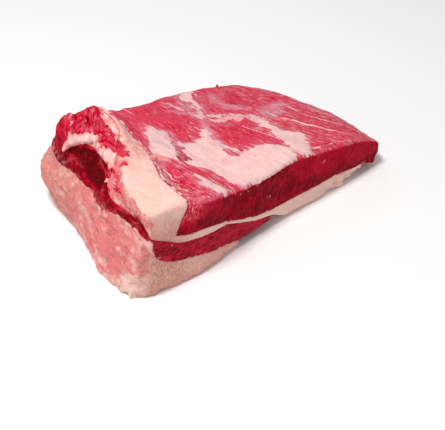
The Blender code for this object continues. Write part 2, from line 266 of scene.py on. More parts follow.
def layered(points, size, seed, octaves=3):
    """Swirl with finer and fainter detail on top."""
    size = np.asarray(size, float)
    total = np.zeros(len(points))
    for octave in range(octaves):
        total += swirl(points, size / 2 ** octave, seed + octave * OCTAVE_SEED) / 2 ** octave
    return total


def warped(points, reach, size, seed):
    """The points, each moved a little, for edges that wander."""
    return points + reach * np.stack([swirl(points, size, seed + k) for k in range(3)], -1)


def rise(low, high, value):
    """0 below low, 1 above high, and an S between them."""
    t = np.clip((value - low) / (high - low), 0, 1)
    return t * t * (3 - 2 * t)


def around(value, middle, reach):
    """1 at the middle, falling smoothly to 0 at the reach to either side."""
    return rise(1, 0, np.abs(value - middle) / reach)


def inside_outline(points, outline):
    """How far inside a plan outline each point lies, negative outside it."""
    corners = np.array(outline, float)
    nearest = np.full(len(points), NEVER)
    inside = np.zeros(len(points), bool)
    x, y = points[:, 0], points[:, 1]
    for (ax, ay), (bx, by) in zip(corners, np.roll(corners, -1, axis=0)):
        dx, dy = bx - ax, by - ay
        t = np.clip(((x - ax) * dx + (y - ay) * dy) / (dx * dx + dy * dy), 0, 1)
        nearest = np.minimum(nearest, np.hypot(x - ax - t * dx, y - ay - t * dy))
        if ay != by:
            crosses = (ay > y) != (by > y)
            inside ^= crosses & (x < ax + (y - ay) / (by - ay) * dx)
    return np.where(inside, nearest, -nearest)


def inside_stroke(points, stroke):
    """How far inside a tapering stroke each point lies, negative outside it."""
    best = np.full(len(points), -NEVER)
    for start, end in zip(stroke, stroke[1:]):
        a, b = np.array(start[:3], float), np.array(end[:3], float)
        along = b - a
        t = np.clip((points - a) @ along / (along @ along), 0, 1)
        width = start[3] + t * (end[3] - start[3])
        gap = np.linalg.norm(points - a - t[:, None] * along, axis=1)
        best = np.maximum(best, width - gap)
    return best


def highest(*masks):
    """The greatest of several masks at each point."""
    return np.max(masks, axis=0)


def inside_any(points, strokes):
    """How far inside any of several strokes each point lies."""
    return highest(*(inside_stroke(points, stroke) for stroke in strokes))


def in_plan(points):
    """The points dropped to the ground, to be measured against strokes in plan."""
    return points * np.array([1.0, 1.0, 0.0])


def peak(points, middle, reach):
    """1 at a place, falling off smoothly within about twice the reach."""
    return np.exp(-np.sum(((points - middle) / reach) ** 2, axis=1))


# ------------------------------------------------------------------ meshes


def mesh_arrays(mesh):
    """(points in the meat frame, triangles, edges) of a mesh."""
    points = np.empty(len(mesh.vertices) * 3)
    mesh.vertices.foreach_get("co", points)
    mesh.calc_loop_triangles()
    triangles = np.empty(len(mesh.loop_triangles) * 3, np.int32)
    mesh.loop_triangles.foreach_get("vertices", triangles)
    edges = np.empty(len(mesh.edges) * 2, np.int32)
    mesh.edges.foreach_get("vertices", edges)
    return points.reshape(-1, 3) / MM + ORIGIN, triangles.reshape(-1, 3), edges.reshape(-1, 2)


def swollen(nodes):
    """The nodes' solids in one mesh, each a little larger, so that neighbours touch."""
    joined = bmesh.new()
    for node in nodes:
        build = bmesh.new()
        build.from_mesh(node.data)
        bmesh.ops.remove_doubles(build, verts=build.verts[:], dist=WELD)
        bmesh.ops.recalc_face_normals(build, faces=build.faces[:])
        build.normal_update()
        moves = [vertex.normal * SWELL * MM for vertex in build.verts]
        for vertex, move in zip(build.verts, moves):
            vertex.co += move
        part = bpy.data.meshes.new("part")
        build.to_mesh(part)
        build.free()
        joined.from_mesh(part)
        bpy.data.meshes.remove(part)
    mesh = bpy.data.meshes.new("swollen")
    joined.to_mesh(mesh)
    joined.free()
    return mesh


def remeshed(nodes, voxel, name):
    """One closed even mesh over the nodes."""
    rough = bpy.data.objects.new("rough", swollen(nodes))
    bpy.context.scene.collection.objects.link(rough)
    remesh = rough.modifiers.new("even", "REMESH")
    remesh.mode = "VOXEL"
    remesh.voxel_size = voxel * MM
    bpy.context.view_layer.update()
    graph = bpy.context.evaluated_depsgraph_get()
    mesh = bpy.data.meshes.new_from_object(rough.evaluated_get(graph))
    mesh.name = name
    old = rough.data
    bpy.data.objects.remove(rough)
    bpy.data.meshes.remove(old)
    return mesh


def unit(vectors):
    """The vectors, each brought to a length of 1."""
    return vectors / np.maximum(np.linalg.norm(vectors, axis=1, keepdims=True), TINY)


def neighbour_count(edges, size):
    """How many neighbours each vertex has."""
    return np.bincount(edges.ravel(), minlength=size).astype(float)


def neighbour_mean(values, edges, count):
    """The mean of each vertex's neighbours."""
    total = np.zeros_like(values)
    for a, b in ((0, 1), (1, 0)):
        for axis in range(values.shape[1]):
            total[:, axis] += np.bincount(
                edges[:, a], weights=values[edges[:, b], axis], minlength=len(values)
            )
    return total / count[:, None]


def relaxed(points, edges, rounds):
    """The points smoothed, without shrinking the whole."""
    count = neighbour_count(edges, len(points))
    for _ in range(rounds):
        points = points + SMOOTH_IN * (neighbour_mean(points, edges, count) - points)
        points = points - SMOOTH_OUT * (neighbour_mean(points, edges, count) - points)
    return points


def vertex_normals(points, triangles):
    """Unit normals, from the triangles around each vertex."""
    a, b, c = (points[triangles[:, k]] for k in range(3))
    face = np.cross(b - a, c - a)
    normals = np.zeros_like(points)
    for k in range(3):
        for axis in range(3):
            normals[:, axis] += np.bincount(
                triangles[:, k], weights=face[:, axis], minlength=len(points)
            )
    return unit(normals)


class Skin:
    """The whole joint's outer skin, smoothed, which every piece follows."""

    def __init__(self, nodes):
        mesh = remeshed(nodes, SKIN_VOXEL, "skin")
        self.raw, self.triangles, edges = mesh_arrays(mesh)
        bpy.data.meshes.remove(mesh)
        self.smooth = relaxed(self.raw, edges, SMOOTH_ROUNDS)
        normals = vertex_normals(self.smooth, self.triangles)
        count = neighbour_count(edges, len(normals))
        for _ in range(NORMAL_ROUNDS):
            normals = (normals + neighbour_mean(normals, edges, count)) / 2
        self.normals = normals
        self.tree = BVHTree.FromPolygons(self.raw.tolist(), self.triangles.tolist())
        self.layers = {}
        for node in nodes:
            corners, triangles, _ = mesh_arrays(node.data)
            self.layers[node.name] = BVHTree.FromPolygons(corners.tolist(), triangles.tolist())

    def gaps(self, points, own_name, share):
        """How far each point lies from every other layer, by the layer's name; points that
        aren't skin count as far off."""
        found = {}
        for name, tree in self.layers.items():
            if name == own_name:
                continue
            gaps = np.full(len(points), FAR)
            for i in np.flatnonzero(share > 0):
                hit = tree.find_nearest(points[i], FAR)
                if hit[3] is not None:
                    gaps[i] = hit[3]
            found[name] = gaps
        return found

    def follow(self, points, own_normals):
        """(points carried along, outward directions, share of each that is skin)."""
        corners = np.empty((len(points), 3), np.int32)
        gaps = np.empty(len(points))
        nearest = np.empty((len(points), 3))
        for i, point in enumerate(points):
            place, _, face, gap = self.tree.find_nearest(point)
            corners[i] = self.triangles[face]
            nearest[i] = place
            gaps[i] = gap
        spans = np.linalg.norm(points[:, None, :] - self.raw[corners], axis=2) + CLOSEST
        weights = (1 / spans) / (1 / spans).sum(1, keepdims=True)
        shift = ((self.smooth - self.raw)[corners] * weights[:, :, None]).sum(1)
        normals = unit((self.normals[corners] * weights[:, :, None]).sum(1))
        share = 1 - rise(*SKIN_DEPTH, gaps)
        facing = rise(*SNAP_FACING, np.sum(own_normals * normals, axis=1))
        snap = (nearest - points) * (facing * rise(*SNAP_DEPTH, gaps))[:, None]
        return points + snap + shift * share[:, None], normals, share


# ------------------------------------------------------------------ flesh, piece by piece
# Each piece's function gets the points, the outward normals and the gaps to the other
# layers. It gives the relief in millimetres and the masks that the material reads.


def fibres(points, along, across, direction, seed):
    """Noise drawn out along a direction."""
    axis = np.asarray(direction, float)
    axis = axis / np.linalg.norm(axis)
    run = points @ axis
    flat = points - run[:, None] * axis + (run * across / along)[:, None] * axis
    return swirl(flat, across, seed)


def lying_fibres(points):
    """Fibres that run over the lobe, shared by the layers that meet there."""
    return fibres(points, 14, 2.8, (0.62, 0.78, 0), 223)


def seam_threads(points):
    """How far inside the pale wisps along the seam, and inside the roll, each point lies."""
    wisps = inside_any(in_plan(warped(points, 1.0, 6, 63)), SEAM_WISPS)
    return wisps, inside_stroke(in_plan(warped(points, 0.6, 5, 65)), ROLL)


def tongues(points, gap, reach, size, seed):
    """How far inside a neighbour's ragged tongues each point lies, by the gap to it."""
    return reach * (0.2 + 1.1 * layered(points, size, seed, 2)) - gap


def slant_of(points):
    """How the fibres on the top slant, more towards the thin end."""
    return 0.1 + 0.5 * rise(140, 300, points[:, 0])


def upper_muscle(points, normals, gaps):
    """Broad red muscle with patches and bands of fat on top, and its cut side."""
    x, y, z = points.T
    top = rise(0.35, 0.7, normals[:, 2] + 0.16 * swirl(points, (3, 3, 3), 3))
    cut = rise(0.3, 0.7, -normals[:, 1]) * (1 - top) * rise(60, 30, y)
    under = rise(0.2, 0.7, -normals[:, 2])
    back = rise(0.3, 0.8, normals[:, 1])
    wander = warped(warped(points, 2.4, 9, 5), 1.0, 3.5, 25)
    slanted = points.copy()
    slanted[:, 0] += slant_of(points) * y
    fibre = swirl(slanted, (2.4, 16, 6), 105)
    fine_fibre = swirl(slanted, (1.7, 9, 4), 106)
    outlines = (SMALL_PATCH, CENTRAL_PATCH, RIGHT_PATCH, FRONT_STREAK, SLIVER)
    patches = highest(*(inside_outline(wander, outline) for outline in outlines))
    tatters = 2.5 * swirl(slanted, (3, 22, 8), 108)
    torn_patch = inside_outline(wander, BACK_PATCH) - 2.2 + tatters
    patches = np.maximum(patches, torn_patch)
    patches = np.minimum(patches, -inside_outline(wander, LEAN_ISLAND))
    finger = inside_stroke(wander, LEAN_FINGER)
    patches = np.minimum(patches, -finger)
    near_fat = rise(-20, -1, patches)
    long_fibre = swirl(slanted, (2.6, 30, 9), 104)
    patches += (2.2 * fibre + 3.8 * long_fibre) * rise(-11, -1, patches) * rise(11, 1, patches)
    border = rise(-9, 0, patches) * rise(10, 1, patches) * rise(250, 205, x)
    bands = np.maximum(inside_stroke(wander, UPPER_BAND), inside_stroke(wander, SECOND_BAND))
    bands -= 1.5 * swirl(points, 7, 41)
    soft_band = rise(-4, 3, bands + 1.5 * fibre)
    bands += 3 * fibre + 2.5 * long_fibre - 1.6
    orange = inside_outline(wander, ORANGE_PATCH) - 1.8 + 2.5 * swirl(points, 5, 43) + 2 * fibre
    lines = inside_any(warped(points, 1.2, 10, 61), WHITE_LINES)
    long_thin = swirl(slanted, (2.3, 42, 9), 117)
    streaks = long_thin - 0.62 + 0.16 * near_fat + 0.2 * rise(-7, 0, patches)
    streaks += 0.14 * rise(230, 280, x)
    streaks -= 0.2 * rise(145, 115, x) * rise(95, 125, y)
    streaks -= 0.14 * rise(225, 195, x) * rise(85, 110, y)
    streaks = np.minimum(5 * streaks, 0.9)
    veils = inside_any(wander, VEILS) + 2.5 * swirl(points, 7, 47) + 2.5 * long_fibre
    veil = rise(-3, 4, veils)
    haze = rise(0.15, 0.8, layered(points, 30, 81) + 0.5 * fibre)
    veil = np.maximum(veil * (0.8 + 0.35 * fibre), 0.3 * haze)
    halo = rise(-10, 0, patches) * rise(-0.2, 0.5, swirl(points, 9, 49) + 0.8 * fibre)
    veil = np.maximum(veil, 0.4 * halo)
    veil = np.maximum(veil, border * (0.1 + 1.1 * rise(-0.1, 0.6, long_fibre + 0.6 * fibre)))
    veil = np.maximum(veil, soft_band * (0.5 + 0.5 * fibre))
    reach = 5 + 4 * rise(75, 95, y) * rise(150, 125, y)
    fray = 0.2 + 0.8 * layered(points, 6, 51, 2) + 0.8 * long_fibre
    wedge_side = reach * fray - gaps["seam_fat"]
    wedge_side = wedge_side * top - 9 * (1 - top)
    veil = np.maximum(veil, rise(5, 1, gaps["seam_fat"]) * (0.4 + 0.8 * long_fibre) * top)
    wisps, roll = seam_threads(points)
    fat = highest(
        patches, bands, orange - 0.5, lines * 1.4, wedge_side, streaks, wisps * 1.6, roll * 1.5
    )
    fat += 0.5 * fine_fibre * rise(3, -1, fat)
    side = rise(0.25, 0.5, normals[:, 2])
    fat = fat * side - 5 * (1 - side)
    clouds = 0.75 * rise(-0.1, 0.6, layered(points, 15, 119)) * rise(-2, 2, patches)
    clouds *= 0.4 + 0.6 * rise(150, 120, x)
    veil = np.clip(np.maximum(veil, clouds) * top, 0, 1) * rise(0.4, -1, roll)
    veil *= 1 - 0.6 * rise(-0.6, 0.4, wisps)
    on_back = 5 * layered(points, (30, 20, 14), 83) - 2.5
    fat = np.where(back > 0.3, np.maximum(fat, on_back), fat)
    strip_side = tongues(points, gaps["seam_fat"], 1.4, (5, 5, 3), 53)
    near_crown = rise(128, 136, x) * rise(170, 158, x)
    # pale specks on the cut side, partly fat and partly painted glints
    flecks = inside_any(points, CUT_FLECKS_AND_GLINTS) * 1.5
    scattered = 6 * swirl(points, (2.6, 2.6, 4), 97) - 6.6 + 3.0 * near_crown * rise(58, 66, z)
    on_cut = highest(strip_side, flecks, scattered)
    fat = np.where(cut > 0.5, np.maximum(fat, on_cut), fat)

    crown = 88 - 0.17 * x
    # painted highlight: the lean along the cut's top edge is made brighter, as if light caught
    # the edge
    painted_edge_highlight = rise(12, 2, crown - z) * rise(180, 230, x)
    soft_left = rise(120, 72, x) * rise(66, 80, z)
    cut_deep = 0.84 + 0.18 * layered(points, (14, 14, 20), 93)
    cut_deep += 0.10 * swirl(points, (2.2, 2.2, 4), 94)
    cut_deep -= 0.26 * painted_edge_highlight + 0.5 * soft_left
    deep = 0.06 + 0.2 * layered(points, 24, 91) + 0.22 * long_fibre
    deep += 0.15 * long_fibre * rise(120, 60, x) * rise(90, 30, y)
    deep -= 0.2 * rise(120, 190, y) + 0.08 * rise(230, 280, x)
    # painted light: the lean beside the seam fat is made lighter, partly for its pinker tone
    # there and partly to paint over the shade in the groove along the joint
    painted_seam_light = around(y, 126, 16) * rise(14, 3, gaps["seam_fat"])
    deep -= 0.4 * painted_seam_light + 0.25 * rise(4, 0.5, gaps["seam_fat"])
    deep = deep + cut * (cut_deep - deep)
    # painted shade: faces that turn downwards are darkened
    deep += 0.25 * under * (1 - cut)
    deep = np.where(inside_any(wander, BRIGHT_SPOTS) > 0, 0.3, deep)
    deep = np.maximum(deep, rise(-1, 1, finger) * 0.5 * top)
    nick = inside_stroke(points, NICK)
    # painted shade: the nick is painted dark, as shade in its groove
    deep = np.maximum(deep, rise(-0.5, 0.6, nick) * 1.1)
    # painted shadow: a dark line is painted in the lean beside each pale wisp
    deep += 0.5 * rise(-1.9, -1.1, wisps) * rise(0, -0.7, wisps) * top
    by_finger = rise(-5, -1, finger) * top
    # painted shadow: the small patch's raised edge casts a dark line onto the lean beside it,
    # painted here
    painted_flap_shadow = rise(-2.6, -1.2, patches) * rise(0.4, -0.6, patches) * by_finger
    deep = np.maximum(deep, 1.2 * painted_flap_shadow * rise(130, 122, y))

    cut_fibre = fibres(points, 10, 2.6, (0.25, 0, 1), 101)
    relief = cut * (0.6 * cut_fibre + 0.9 * layered(points, (8, 8, 12), 103))
    sunk_back = rise(140, 178, y) * rise(180, 212, x)
    relief -= 3.2 * sunk_back * rise(292, 255, x)
    lean = 1 - rise(-1, 1, fat)
    relief += top * lean * (0.3 * fibre + 0.2 * fine_fibre + 0.5 * layered(points, 7, 107))
    relief += top * (1.1 * layered(points, 28, 109, 2))
    relief += 1.5 * rise(-1.5, 2.5, patches) * top
    relief += 0.35 * layered(points, 6, 110, 2) * (1 - lean) * top
    relief += 0.4 * rise(-0.5, 1, lines) * top
    relief -= 1.6 * rise(-1, 1.2, nick)
    relief += 0.9 * rise(-0.4, 0.9, patches) * by_finger + 1.8 * rise(-0.6, 1.5, roll)
    relief += 0.6 * rise(-0.6, 0.6, wisps) * top
    relief += 8 * peak(points[:, :2], SHRED, 2.2) * top
    relief -= 1.3 * rise(-2, 2, finger) * top
    relief -= 2.0 * around(x, 129, 9) * rise(170, 188, y) * top
    relief += 1.2 * rise(5, 0, gaps["seam_fat"]) * top
    relief += (1 - top) * (1 - cut) * 0.8 * layered(points, 12, 111)
    blush = rise(-1, 2, orange) * (0.3 + 0.4 * fibre)
    blush += 0.35 * rise(0.0, 0.8, layered(points, 18, 113))
    blush += 0.25 * rise(2.5, 0, patches)
    blush = np.maximum(blush, 0.6 * rise(-1, 1, inside_outline(wander, SLIVER)))
    blush = np.maximum(blush, 0.75 * rise(-0.8, 0.6, roll))
    line = 0.1 + 0.3 * rise(0, 0.8, layered(points, (26, 44, 30), 115, 2))
    line += 0.5 * near_fat * rise(-0.3, 0.5, long_fibre)
    line += 0.55 * rise(225, 280, x) * rise(-0.4, 0.4, long_fibre)
    line = np.maximum(line, soft_band * (0.75 + 0.5 * long_fibre))
    line += 0.2 * rise(140, 100, x) * rise(85, 50, y)
    line = line * top + 0.45 * soft_left * cut - 1.2 * cut * (1 - soft_left)
    return relief, fat, deep, veil, blush, line


def lower_muscle(points, normals, gaps):
    """Dark band on the cut side, and the red lobe with its pocket at the fatty end."""
    _, y, z = points.T
    wander = warped(warped(points, 1.4, 11, 205), 0.7, 4, 225)
    lobe = rise(84, 104, y)
    up = rise(0.3, 0.75, normals[:, 2])
    left = rise(0.3, 0.8, -normals[:, 0])
    cut = rise(0.3, 0.7, -normals[:, 1]) * rise(45, 25, y)
    back = rise(0.3, 0.8, normals[:, 1])
    pocket = rise(-5, 5, inside_stroke(wander, POCKET_DARK)) * lobe
    upright = fibres(points, 22, 2.8, (0.15, 0.1, 1), 225)
    lying = lying_fibres(points)
    band = inside_stroke(wander, CREAM_BAND) + 2.2 * lying * rise(86, 94, z)
    lines = inside_any(warped(points, 1.5, 7, 261), LOBE_LINES)
    edge = inside_stroke(wander, SEAM_EDGE) + 2.5 * lying
    fat = highest(band, lines, edge)
    on_back = 4 * layered(points, (24, 20, 12), 283) - 2.2
    fat = np.where(back > 0.3, np.maximum(fat, on_back), fat)
    fat = np.maximum(fat, inside_stroke(warped(points, 0.8, 5, 207), BAND_STREAK))
    flecks = 6 * swirl(points, (4, 4, 3), 209) - 4.2
    fat = np.maximum(fat, np.where(cut > 0.5, flecks, -6))
    fat = np.maximum(fat, inside_stroke(wander, CORNER_BRIDGE))
    from_cap = tongues(points, gaps["fat_cap"], 1.4, (5, 7, 4), 241)
    reach = 1 + 4 * rise(75, 100, y) * (1 - around(y, 117, 13))
    fray = 0.15 + 0.7 * layered(points, 6, 243, 2) + 0.9 * lying
    from_seam = reach * fray - gaps["seam_fat"]
    fat = highest(fat, from_cap, from_seam * (1 - cut) - 3 * cut)
    fat = np.minimum(fat, -inside_stroke(wander, SECOND_RED))
    rim = rise(-1, 3, inside_stroke(wander, LOBE_RIM))
    crease = rise(-2, 2, inside_stroke(wander, RIM_CREASE))
    top_red = lobe * up * rise(74, 84, z)
    deep = 0.9 + 0.3 * layered(points, 12, 211)
    red_deep = 0.42 + 0.35 * layered(points, (7, 7, 5), 213) - 0.4 * lying
    deep = deep * (1 - top_red) + top_red * red_deep
    # the pocket's lean is a deep red, painted darker still, almost to black, as shade in the
    # hollow
    pocket_deep = 1.45 + 0.6 * upright + 0.3 * layered(points, 9, 215)
    deep = np.maximum(deep, pocket * pocket_deep)
    deep = np.maximum(deep, rim * (0.78 + 0.7 * layered(points, 5, 214) + 0.8 * upright))
    # painted shade: the crease along the rim is painted near black, as shade in its groove
    deep = np.maximum(deep, crease * 1.2)
    band_deep = 0.66 + 0.3 * layered(points, (9, 9, 7), 217)
    deep = np.where(cut > 0.5, band_deep, deep)
    deep = np.maximum(deep, rise(-3, 3, inside_stroke(points, BAND_DARK_END)) * 0.9 * cut)
    crevice = inside_stroke(points, BAND_CREVICE)
    # painted shade: the crevice in the band is painted near black, as shade in its groove
    deep = np.maximum(deep, rise(-0.8, 0.8, crevice) * 1.2)
    haze = rise(0.0, 0.7, layered(points, 12, 219) + 0.4 * lying)
    veil = 0.15 * haze * (1 - pocket) * (1 - cut)
    veil += 0.03 * cut + 0.6 * rim * rise(0.1, 0.6, upright)

    crag = layered(points, (8, 8, 8), 221)
    relief = lobe * up * (1.5 * crag + 1.0 * lying)
    room = rise(1, 6, np.minimum(gaps["seam_fat"], gaps["fat_cap"]))
    relief += pocket * room * (1.0 * upright - 2.0)
    relief += (1 - lobe) * left * 0.8 * layered(points, (6, 6, 8), 227)
    cut_fibre = fibres(points, 7, 2.6, (0.5, 0, 1), 229)
    relief += cut * (0.5 * cut_fibre + 0.8 * layered(points, 9, 231))
    relief += back * 0.9 * layered(points, 12, 233)
    relief += 2.2 * rise(-2, 4, band) * lobe + 2.0 * rim - 2.6 * crease
    relief += 2.6 * peak(points, LOBE_PEAK, 8)
    relief -= 1.5 * rise(-0.8, 1, crevice)
    blush = 0.25 + 0.5 * layered(points, 8, 235) + 0.25 * rise(3, 0, band) + 0.2 * lying
    line = 0.15 * top_red * rise(0.0, 0.5, lying) - 0.3 * cut - 0.5 * pocket
    line += 1.5 * rim + 0.3 * rise(3, -1, band) * rise(-6, -1, band) * lobe
    line += 0.15 * lobe * rise(-1, 1, fat)
    return relief, fat, deep, veil, blush, line


def seam_fat(points, normals, gaps):
    """Thin pale layer that swells into the cream wedge at the fatty end."""
    x, y, z = points.T
    wander = warped(warped(points, 1.8, 7, 305), 0.8, 2.5, 325)
    up = rise(0.3, 0.75, normals[:, 2])
    left = rise(0.0, 0.7, -normals[:, 0] + 0.25 * swirl(points, 5, 303))
    left = left * rise(90, 60, x)
    cut = rise(0.35, 0.75, -normals[:, 1]) * rise(45, 25, y)
    combed = fibres(points, 16, 2.6, (0.4, 0.9, 1.1), 309)
    smears = inside_any(warped(wander, 1.5, 4, 307), FLANK_SMEARS)
    smears += 3.0 * combed
    second_red = inside_stroke(wander, SECOND_RED)
    red_spot = inside_stroke(wander, RED_SPOT)
    red = highest(0.5 * smears + 0.1, second_red, red_spot)
    lying = lying_fibres(points)
    fray = 0.1 + 0.6 * layered(points, 6, 331, 2) + 0.9 * lying
    from_lobe = 6 * fray - gaps["lower_muscle"]
    from_lobe = from_lobe * rise(75, 95, y) - 4 * rise(95, 75, y)
    from_slab = tongues(points, gaps["upper_muscle"], 3.2, (3, 8, 4), 333) * up - 3 * (1 - up)
    fingers = fibres(points, 20, 2.4, (0.15, 1, 0), 339)
    tip = inside_stroke(wander, LOBE_TIP) + 2.2 * fingers
    red = highest(red, from_lobe, from_slab, tip)
    wisps, roll = seam_threads(points)
    red = np.minimum(red, -1.5 * np.maximum(wisps, roll) * up)
    red = np.minimum(red, -inside_stroke(wander, PALE_BREAK))
    fat = -red
    deep = 0.25 + 0.25 * layered(points, 7, 311)
    deep = np.maximum(deep, 0.5 * rise(-1, 1, second_red))
    lilac = rise(-4, 4, inside_stroke(wander, SEAM_VEIL) + 2 * swirl(points, 5, 312)) * up
    height = z - 0.3 * (x - 30)
    greyness = cut * rise(100, 60, height) * (1 - 0.95 * rise(42, 78, x))
    blush = left * (0.6 + 0.5 * layered(points, 7, 313) + 0.5 * combed)
    blush += left * 0.9 * rise(-6, 0, smears) + 0.5 * rise(-3, 1, red_spot)
    blush += 0.14 * layered(points, 30, 315) + 0.2 * rise(4, 0, gaps["lower_muscle"])
    blush += 0.1 * up * (1 + layered(points, 8, 337)) + 0.22 * cut
    line = left * (0.35 + 0.5 * rise(-0.2, 0.5, combed)) + 0.7 * left * rise(-5, 1, smears)
    line += 0.12 * cut + 0.1 * up + 0.3 * up * rise(9, 1, gaps["upper_muscle"])
    far_up = up * rise(75, 110, y)
    line += 0.5 * far_up * rise(-0.3, 0.5, combed)
    blush += 0.3 * far_up * (1 + layered(points, 9, 335))
    blush -= 1.4 * cut * rise(68, 125, x)
    blush = np.maximum(blush, 0.75 * rise(-0.8, 0.6, roll))
    line *= rise(-2.5, 1, fat)
    relief = 0.6 * layered(points, 22, 317) + 0.15 * layered(points, 4, 319)
    relief += left * (0.8 * combed + 0.8 * layered(points, 8, 321))
    ragged = rise(255, 285, x) * rise(40, 15, y)
    relief += ragged * 3.2 * layered(points, (9, 9, 6), 323, 2)
    torn = rise(185, 215, x) * rise(0.5, -0.2, normals[:, 2]) * rise(60, 20, y)
    relief += torn * 1.3 * layered(points, (3.6, 3.6, 5), 341, 2)
    relief += 1.8 * rise(-0.6, 1.5, roll) - 0.7 * rise(-1, 1.5, red) * left
    relief -= 4.5 * rise(160, 183, y) * up * rise(130, 115, x)
    return relief, fat, deep, np.maximum(0.8 * lilac, greyness), blush, line


def fat_cap(points, normals, gaps):
    """Pink outer fat underneath, folded and veined where it rises into the fatty end."""
    x, y, z = points.T
    wander = warped(warped(points, 2.2, 9, 405), 1.0, 3, 425)
    left = rise(0.25, 0.7, -normals[:, 0])
    cut = rise(0.35, 0.75, -normals[:, 1]) * rise(45, 25, y)
    veins = inside_any(wander, CAP_VEINS) - 0.3
    web = 1 - 2.2 * np.abs(layered(wander, (8, 12, 9), 407))
    fold = 1 - 2.0 * np.abs(layered(wander, (16, 26, 14), 408, 2))
    patchy = rise(-0.35, 0.45, swirl(points, 20, 409))
    red = rise(-0.8, 0.6, veins)
    red = np.maximum(red, left * rise(0.75, 1.0, web) * patchy * 0.5)
    from_strip = tongues(points, gaps["lower_muscle"], 1.8, (5, 7, 4), 431)
    below_pocket = rise(62, 84, y) * rise(122, 100, y)
    spill = 7.5 * below_pocket * (0.8 + 0.5 * layered(points, 5, 433)) - gaps["lower_muscle"]
    from_strip = np.maximum(from_strip, spill) * (1 - cut) - 2 * cut
    fat = np.minimum(4.5 - 5.0 * red, -from_strip + 1.0)
    deep = 0.22 + 0.25 * layered(points, 8, 411) + 0.6 * below_pocket
    blush = left * (0.74 + 0.6 * layered(points, 13, 413) + 0.45 * layered(points, 5, 414, 2))
    blush -= 1.05 * left * rise(60, 25, y) * rise(48, 15, z)
    blush += 0.3 * (1 - left) * (1 - cut) + 0.12 * cut
    blush += rise(-8, 6, inside_stroke(points, CAP_BLUSH)) * 0.35 * left
    blush -= 0.3 * rise(25, 5, z) * left
    blush += 0.25 * cut * rise(18, 4, z) + 0.1 * cut * layered(points, 9, 416)
    greyness = cut * (1.0 + 0.2 * layered(points, 10, 418)) * (1 - 0.3 * rise(45, 75, x))
    greyness += left * 0.35 * rise(0.0, 0.7, layered(points, 9, 420))
    greyness += left * 0.6 * rise(110, 165, y)
    near_corner = left * rise(60, 25, y) * rise(45, 15, z)
    greyness *= 1 - 0.8 * near_corner
    line = left * (0.35 + 0.65 * rise(-0.4, 0.6, layered(points, 14, 422, 2))) + 0.15 * cut
    line *= 1 - 0.6 * rise(60, 25, y) * rise(45, 15, z)
    relief = left * (1.1 * layered(points, (13, 16, 11), 415) + 1.0 * rise(0.3, 1, fold))
    relief += left * (0.6 * layered(points, 5, 417, 2) - 0.6 * rise(0.6, 1, web))
    relief += (1 - left) * 0.5 * layered(points, 14, 419)
    relief += cut * 0.45 * layered(points, 5, 421)
    foot = rise(8, 0, z)
    relief += foot * (left + cut) * 1.6 * layered(points, (8, 8, 8), 423)
    relief += 3 * peak(points, FLAP, 3.0) - 4 * peak(points, NOTCH, 3.2)
    greyness = np.clip(greyness, 0, 1) * rise(-0.5, 1.5, fat)
    return relief, fat, deep, greyness, blush, line


# ------------------------------------------------------------------ materials


class Shader:
    """A node tree being built, with short calls for its nodes."""

    def __init__(self, name):
        self.material = bpy.data.materials.new(name)
        self.material.use_nodes = True
        self.tree = self.material.node_tree
        self.principled = self.tree.nodes["Principled BSDF"]

    def fill(self, node, inputs):
        """Give a node its inputs, each a value or another node's output."""
        for slot, value in inputs.items():
            if isinstance(value, bpy.types.NodeSocket):
                self.tree.links.new(value, node.inputs[slot])
            else:
                node.inputs[slot].default_value = value

    def node(self, kind, inputs, **settings):
        """A new node with its settings and inputs."""
        made = self.tree.nodes.new(kind)
        for key, value in settings.items():
            setattr(made, key, value)
        self.fill(made, inputs)
        return made

    def attribute(self, name, output="Fac"):
        """A mask on the mesh, or with "Vector" a grain."""
        return self.node("ShaderNodeAttribute", {}, attribute_name=name).outputs[output]

    def noise(self, vector, scale, detail=3.0, roughness=0.55, curling=0.0):
        """Noise from 0 to 1."""
        inputs = {
            "Vector": vector, "Scale": scale, "Detail": detail, "Roughness": roughness,
            "Distortion": curling,
        }
        return self.node("ShaderNodeTexNoise", inputs).outputs["Fac"]

    def maths(self, operation, a, b=0.0, c=0.0):
        """A sum on up to three numbers."""
        return self.node("ShaderNodeMath", {0: a, 1: b, 2: c}, operation=operation).outputs[0]

    def ramp(self, value, low, high, start=0.0, end=1.0):
        """From start to end as the value goes from low to high, along an S."""
        inputs = {
            "Value": value, "From Min": low, "From Max": high, "To Min": start, "To Max": end,
        }
        made = self.node("ShaderNodeMapRange", inputs, interpolation_type="SMOOTHSTEP")
        return made.outputs["Result"]

    def blend(self, share, a, b):
        """Two numbers mixed."""
        return self.maths("MULTIPLY_ADD", share, self.maths("SUBTRACT", b, a), a)

    def mix(self, share, a, b):
        """Two colours mixed."""
        colours = {0: share, 6: a, 7: b}
        return self.node("ShaderNodeMix", colours, data_type="RGBA").outputs[2]


